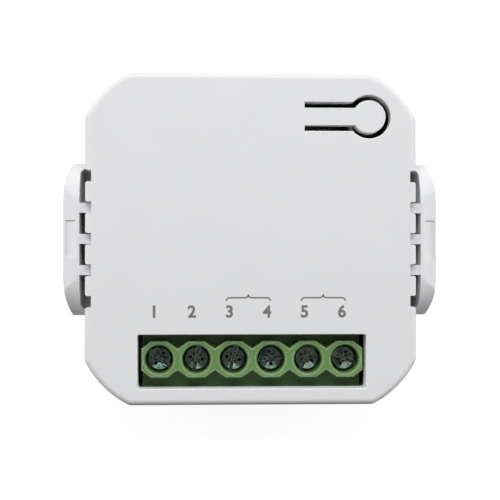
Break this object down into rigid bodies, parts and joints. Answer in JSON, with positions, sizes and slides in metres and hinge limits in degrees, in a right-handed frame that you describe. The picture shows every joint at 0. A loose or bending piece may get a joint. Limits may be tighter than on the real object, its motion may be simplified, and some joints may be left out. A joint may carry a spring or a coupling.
{
  "type": "in-wall energy monitor module",
  "caption": "Square in-wall energy monitor module with a screw terminal row, a flexing keyhole button in the face, bowed side lugs and a full circuit board inside.",
  "frame": {"origin": "centre of the rear face, on the surface that the module lies on", "axes": "+Z out of the front face, +Y towards the button end, -Y out of the wire entries, +X towards the button side"},
  "size_m": [0.0514, 0.045, 0.0186],
  "materials": {
    "casing_plastic": "fine matt moulded plastic, light grey-white",
    "terminal_plastic": "moulded plastic, leaf green",
    "screw_steel": "zinc plated steel, slightly tarnished",
    "cage_steel": "nickel plated steel",
    "tinned_contact": "tinned brass",
    "board_laminate": "glass laminate with green solder mask",
    "switch_plastic": "black moulded plastic",
    "shield_metal": "tinned sheet",
    "chip_moulding": "black epoxy moulding",
    "led_moulding": "clear yellowish resin on white",
    "ceramic": "tan sintered ceramic",
    "capacitor_sleeve": "shrunk dark blue sleeve",
    "film_case": "yellow box moulding",
    "varistor_coating": "dipped blue epoxy",
    "resistor_coating": "grey-green cement coating",
    "ferrite": "sintered ferrite",
    "copper_wire": "enamelled copper wire"
  },
  "bodies": {
    "housing": {"front_cover": "casing_plastic", "rear_casing": "casing_plastic", "terminal_housing": "terminal_plastic", "contact_pins": "tinned_contact", "main_board": "board_laminate", "switch_body": "switch_plastic", "switch_dome": "shield_metal", "radio_board": "board_laminate", "radio_solder_pads": "tinned_contact", "radio_shield_can": "shield_metal", "metering_chip": "chip_moulding", "converter_chip": "chip_moulding", "bridge_rectifier": "chip_moulding", "voltage_regulator": "chip_moulding", "freewheel_diode": "chip_moulding", "crystal": "shield_metal", "status_led": "led_moulding", "chip_leads": "tinned_contact", "burden_resistors": "chip_moulding", "chip_resistors": "chip_moulding", "ceramic_capacitors": "ceramic", "input_capacitor_1": "capacitor_sleeve", "input_capacitor_2": "capacitor_sleeve", "output_capacitor": "capacitor_sleeve", "film_capacitor": "film_case", "varistor": "varistor_coating", "fuse_resistor": "resistor_coating", "inductor_core": "ferrite", "inductor_winding": "copper_wire"},
    "button": {"push_button": "casing_plastic"},
    "screw_1": {"terminal_screw_1": "screw_steel"},
    "cage_1": {"clamp_cage_1": "cage_steel"},
    "screw_2": {"terminal_screw_2": "screw_steel"},
    "cage_2": {"clamp_cage_2": "cage_steel"},
    "screw_3": {"terminal_screw_3": "screw_steel"},
    "cage_3": {"clamp_cage_3": "cage_steel"},
    "screw_4": {"terminal_screw_4": "screw_steel"},
    "cage_4": {"clamp_cage_4": "cage_steel"},
    "screw_5": {"terminal_screw_5": "screw_steel"},
    "cage_5": {"clamp_cage_5": "cage_steel"},
    "screw_6": {"terminal_screw_6": "screw_steel"},
    "cage_6": {"clamp_cage_6": "cage_steel"}
  },
  "joints": [
    {"name": "button_press", "type": "hinge", "parent": "housing", "child": "button", "pos_m": [0.0072, 0.0166, 0.018], "axis": [0, 1, 0], "range_deg": [0, 2], "stiffness_Nm_per_rad": 0.5},
    {"name": "screw_turn_1", "type": "hinge", "parent": "housing", "child": "screw_1", "pos_m": [-0.01255, -0.01642, 0.014], "axis": [0, 0, 1], "range_deg": [-1600, 0]},
    {"name": "cage_lift_1", "type": "slide", "parent": "housing", "child": "cage_1", "axis": [0, 0, 1], "range_m": [0, 0.002]},
    {"name": "screw_turn_2", "type": "hinge", "parent": "housing", "child": "screw_2", "pos_m": [-0.00747, -0.01642, 0.014], "axis": [0, 0, 1], "range_deg": [-1600, 0]},
    {"name": "cage_lift_2", "type": "slide", "parent": "housing", "child": "cage_2", "axis": [0, 0, 1], "range_m": [0, 0.002]},
    {"name": "screw_turn_3", "type": "hinge", "parent": "housing", "child": "screw_3", "pos_m": [-0.00239, -0.01642, 0.014], "axis": [0, 0, 1], "range_deg": [-1600, 0]},
    {"name": "cage_lift_3", "type": "slide", "parent": "housing", "child": "cage_3", "axis": [0, 0, 1], "range_m": [0, 0.002]},
    {"name": "screw_turn_4", "type": "hinge", "parent": "housing", "child": "screw_4", "pos_m": [0.00269, -0.01642, 0.014], "axis": [0, 0, 1], "range_deg": [-1600, 0]},
    {"name": "cage_lift_4", "type": "slide", "parent": "housing", "child": "cage_4", "axis": [0, 0, 1], "range_m": [0, 0.002]},
    {"name": "screw_turn_5", "type": "hinge", "parent": "housing", "child": "screw_5", "pos_m": [0.00777, -0.01642, 0.014], "axis": [0, 0, 1], "range_deg": [-1600, 0]},
    {"name": "cage_lift_5", "type": "slide", "parent": "housing", "child": "cage_5", "axis": [0, 0, 1], "range_m": [0, 0.002]},
    {"name": "screw_turn_6", "type": "hinge", "parent": "housing", "child": "screw_6", "pos_m": [0.01285, -0.01642, 0.014], "axis": [0, 0, 1], "range_deg": [-1600, 0]},
    {"name": "cage_lift_6", "type": "slide", "parent": "housing", "child": "cage_6", "axis": [0, 0, 1], "range_m": [0, 0.002]}
  ],
  "couplings": [
    {"joint": "screw_turn_1", "follows": "cage_lift_1", "rad_per_m": -13963},
    {"joint": "screw_turn_2", "follows": "cage_lift_2", "rad_per_m": -13963},
    {"joint": "screw_turn_3", "follows": "cage_lift_3", "rad_per_m": -13963},
    {"joint": "screw_turn_4", "follows": "cage_lift_4", "rad_per_m": -13963},
    {"joint": "screw_turn_5", "follows": "cage_lift_5", "rad_per_m": -13963},
    {"joint": "screw_turn_6", "follows": "cage_lift_6", "rad_per_m": -13963}
  ]
}
